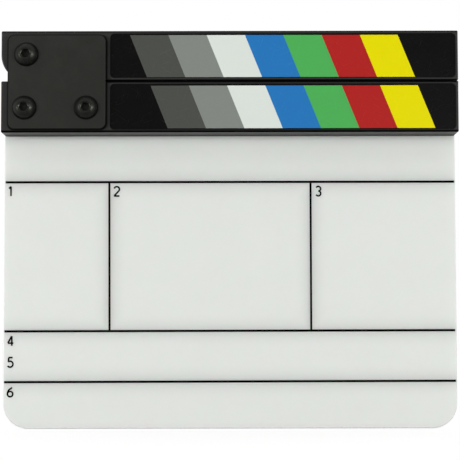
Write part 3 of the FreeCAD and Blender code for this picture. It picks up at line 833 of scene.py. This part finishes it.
def nylon():
    """Waxy, faintly clouded plastic."""
    material, tree, shader, place = new_finish(
        "nylon",
        IOR=nylon_refraction,
        Subsurface_Weight=nylon_scatter,
        Subsurface_Scale=nylon_scatter_depth,
    )
    cloud = noise(tree, place, 1 / nylon_cloud, cloud_detail)
    rough = spread(tree, cloud, *nylon_span, *nylon_roughness)
    tree.links.new(blend(tree, cloud, nylon_pale, nylon_aged), shader.inputs["Base Color"])
    tree.links.new(rough, shader.inputs["Roughness"])
    return material


finish_nodes(nylon(), "lock_rings", "thrust_washers")

# Inserts and pivot bush: turned brass and bearing bronze. The inserts sit in the wood of the lower
# stick and take the board screws; the bush is pressed into the upper stick and turns on the sleeve.
brass_clean = (0.68, 0.47, 0.18, 1.0)
brass_dark = (0.42, 0.28, 0.11, 1.0)
brass_roughness = (0.25, 0.4)
tarnish_size = 3.0 * MM
tarnish_span = (0.4, 0.7)
lathe_stretch = (1.0, 6000.0, 1.0)
lathe_span = (0.3, 0.7)
lathe_depth = 0.005 * MM


def turned_brass():
    """Fine rings from the lathe, darkened in patches."""
    material, tree, shader, place = new_finish("turned brass", Metallic=1.0)
    rings = noise(tree, stretched(tree, place, lathe_stretch), 1.0)
    tarnish = spread(tree, noise(tree, place, 1 / tarnish_size, cloud_detail), *tarnish_span)
    rough = spread(tree, rings, *lathe_span, *brass_roughness)
    tree.links.new(blend(tree, tarnish, brass_clean, brass_dark), shader.inputs["Base Color"])
    tree.links.new(rough, shader.inputs["Roughness"])
    raise_bumps(tree, shader, rings, lathe_depth)
    return material


finish_nodes(turned_brass(), "board_inserts", "pivot_bush")

# Magnets: two nickel-plated discs, glued flush into the meeting faces of the sticks at the free
# end, where they hold the sticks shut.
nickel_bright = (0.66, 0.63, 0.58, 1.0)
nickel_tapped = (0.45, 0.43, 0.40, 1.0)
nickel_roughness = (0.12, 0.3)
tap_size = 1.2 * MM
tap_roughness = 0.7
tap_colour_span = (0.5, 0.7)
tap_rough_span = (0.3, 0.7)
tap_depth = 0.006 * MM


def nickel_plate():
    """Bright plating with a dulled bloom where the magnets knock together."""
    material, tree, shader, place = new_finish("nickel plate", Metallic=1.0)
    taps = noise(tree, place, 1 / tap_size, cloud_detail, tap_roughness)
    dulled = spread(tree, taps, *tap_colour_span)
    rough = spread(tree, taps, *tap_rough_span, *nickel_roughness)
    tree.links.new(blend(tree, dulled, nickel_bright, nickel_tapped), shader.inputs["Base Color"])
    tree.links.new(rough, shader.inputs["Roughness"])
    raise_bumps(tree, shader, taps, tap_depth)
    return material


finish_nodes(nickel_plate(), "lower_magnet", "upper_magnet")

# Stage: a plain floor of pale paper just under the board's bottom edge. It reaches far past the
# picture and takes the board's shadow; the camera sees it lifted to white.
floor_reach = 12.0
floor_drop = 0.2 * MM
floor_rings = 12
floor_ring_points = 48
floor_pale = (0.42, 0.42, 0.42, 1.0)
floor_lift = 0.69
floor_mirrored_span = (-0.05, 0.05)


def floor_grid():
    """Flat disc: rings of points round the origin, with radii that grow as the ring's number squared."""
    radius = floor_reach * np.linspace(0.0, 1.0, floor_rings)[None, :, None, None] ** 2
    turn = np.linspace(0.0, 2 * math.pi, floor_ring_points, endpoint=False)[None, None, :, None]
    flat = np.concatenate([np.cos(turn), np.sin(turn), np.zeros_like(turn)], axis=-1)
    return radius * flat - np.array((0.0, 0.0, floor_drop))


def studio_floor():
    """Pale paper that takes shadows; what the camera sees of it is lifted to white.

    So is what a shiny or clear surface shows of it, from under the board backwards.
    """
    material = bpy.data.materials.new("studio floor")
    material.use_nodes = True
    tree = material.node_tree
    tree.nodes.clear()
    paper = node(tree, "ShaderNodeBsdfDiffuse", {"Color": floor_pale})
    path = node(tree, "ShaderNodeLightPath").outputs
    place = node(tree, "ShaderNodeTexCoord").outputs["Object"]
    behind = spread(tree, split(tree, place)["Y"], *floor_mirrored_span)
    shown = calc(tree, "MAXIMUM", path["Is Glossy Ray"], path["Is Transmission Ray"])
    shown = calc(tree, "MULTIPLY", shown, behind)
    seen = calc(tree, "MAXIMUM", path["Is Camera Ray"], shown)
    glow = node(tree, "ShaderNodeEmission", {"Strength": calc(tree, "MULTIPLY", seen, floor_lift)})
    both = node(tree, "ShaderNodeAddShader", {0: paper.outputs[0], 1: glow.outputs[0]})
    node(tree, "ShaderNodeOutputMaterial", {"Surface": both.outputs[0]})
    return material


floor = ring_surface("floor", floor_grid())
floor.data.materials.append(studio_floor())

# Light: two wide soft lamps in front, the left one a little stronger, and a white room around.
# The room is dark about the camera, so that the black pieces stay black, with a glow low on the
# right of it.
room_white = (1.0, 1.0, 1.0, 1.0)
room_light = 0.50
front_light = 0.04
front_span = (-0.92, -0.80)
rear_light = 1.0
rear_span = (0.0, 0.3)
ceiling_light = 0.65
ceiling_span = (0.3, 0.6)
glow_light = 0.22
glow_height_span = (0.10, 0.19)
glow_right_span = (0.04, 0.12)
lamp_aside = 1.75
lamp_front = -1.6
lamp_height = 0.20
lamp_size = (1.0, 0.34)
lamp_powers = {"left lamp": 26.2, "right lamp": 24.0}


def white_room():
    """White for the camera; as light, the strongest of four parts in each direction.

    It is white behind, dimmer above and all round, dark about the camera and less so low on the
    right of it.
    """
    world = bpy.data.worlds.new("white room")
    world.use_nodes = True
    tree = world.node_tree
    tree.nodes.clear()
    axes = split(tree, node(tree, "ShaderNodeTexCoord").outputs["Generated"])
    around = spread(tree, axes["Y"], *front_span, front_light, room_light)
    low = spread(tree, axes["Z"], *glow_height_span, glow_light, 0.0)
    low_right = calc(tree, "MULTIPLY", low, spread(tree, axes["X"], *glow_right_span))
    behind = spread(tree, axes["Y"], *rear_span, 0.0, rear_light)
    above = spread(tree, axes["Z"], *ceiling_span, 0.0, ceiling_light)
    strength = node(tree, "ShaderNodeLightPath").outputs["Is Camera Ray"]
    for part in (around, low_right, behind, above):
        strength = calc(tree, "MAXIMUM", strength, part)
    light = node(tree, "ShaderNodeBackground", {"Color": room_white, "Strength": strength})
    node(tree, "ShaderNodeOutputWorld", {"Surface": light.outputs[0]})
    bpy.context.scene.world = world


def soft_lamp(name, place, aim, power):
    """Rectangular area lamp at a place, turned to face a point."""
    lamp = bpy.data.lights.new(name, "AREA")
    lamp.shape = "RECTANGLE"
    lamp.size, lamp.size_y = lamp_size
    lamp.energy = power
    holder = bpy.data.objects.new(name, lamp)
    bpy.context.scene.collection.objects.link(holder)
    holder.location = place
    heading = aim - holder.location
    holder.rotation_euler = heading.to_track_quat("-Z", "Y").to_euler()


white_room()
object_middle = (cad_box[0] + cad_box[1]) / 2
for side, (lamp_name, lamp_power) in zip((-1, 1), lamp_powers.items()):
    soft_lamp(lamp_name, (side * lamp_aside, lamp_front, lamp_height), object_middle, lamp_power)

# Camera: level with the lower part of the board, a metre off, looking a little upwards, as the
# photograph's perspective on the sticks' underside shows.
image_side = 460
focal_pixels = 1581.0
film_width = 36.0
camera_place = (0.0, -0.9812, 0.0571)
camera_pitch = math.radians(3.816)
camera_roll = math.radians(-0.1)

camera = bpy.data.cameras.new("camera")
camera.sensor_width = film_width
camera.lens = film_width * focal_pixels / image_side
viewer = bpy.data.objects.new("camera", camera)
viewer.location = camera_place
viewer.rotation_mode = "ZXY"
viewer.rotation_euler = (math.pi / 2 + camera_pitch, 0.0, camera_roll)
bpy.context.scene.collection.objects.link(viewer)
bpy.context.scene.camera = viewer
bpy.context.scene.view_settings.view_transform = "Standard"
